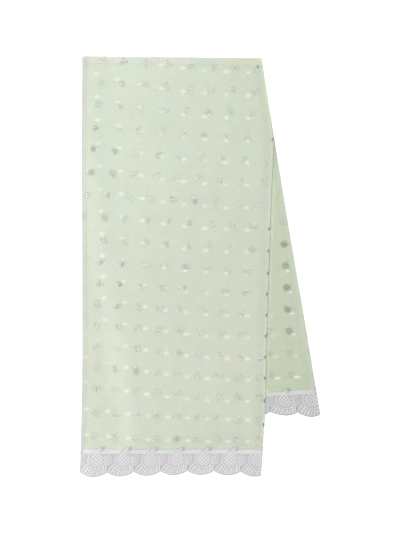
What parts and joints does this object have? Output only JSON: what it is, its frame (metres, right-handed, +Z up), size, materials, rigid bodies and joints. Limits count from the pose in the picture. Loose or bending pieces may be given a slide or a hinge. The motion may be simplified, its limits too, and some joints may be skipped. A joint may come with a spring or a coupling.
{
  "type": "folded saree",
  "caption": "Sheer pale green saree folded into a narrow strip and doubled over its top edge, laid flat, with small woven rounds and a scalloped paisley lace border",
  "frame": {"origin": "middle of the footprint, on the surface that the folded cloth lies on", "axes": "+Z up from that surface, +Y from the scalloped ends towards the turned top edge, +X to the right as seen from above, the way the rear flap fans out"},
  "size_m": [0.3522, 0.6196, 0.0094],
  "materials": {
    "cloth": "sheer pale mint organza with a soft sheen and small woven silver rounds",
    "hidden cloth": "the same sheer pale mint cloth in many folded layers",
    "lace": "silver grey and white woven lace with raised paisleys and a scalloped edge"
  },
  "bodies": {
    "root": {"folded_layers": "hidden cloth", "outer_panel": "cloth", "inner_panel": "cloth", "front_border": "lace", "front_border_layers": "lace", "rear_border": "lace", "rear_border_layers": "lace"}
  },
  "joints": []
}
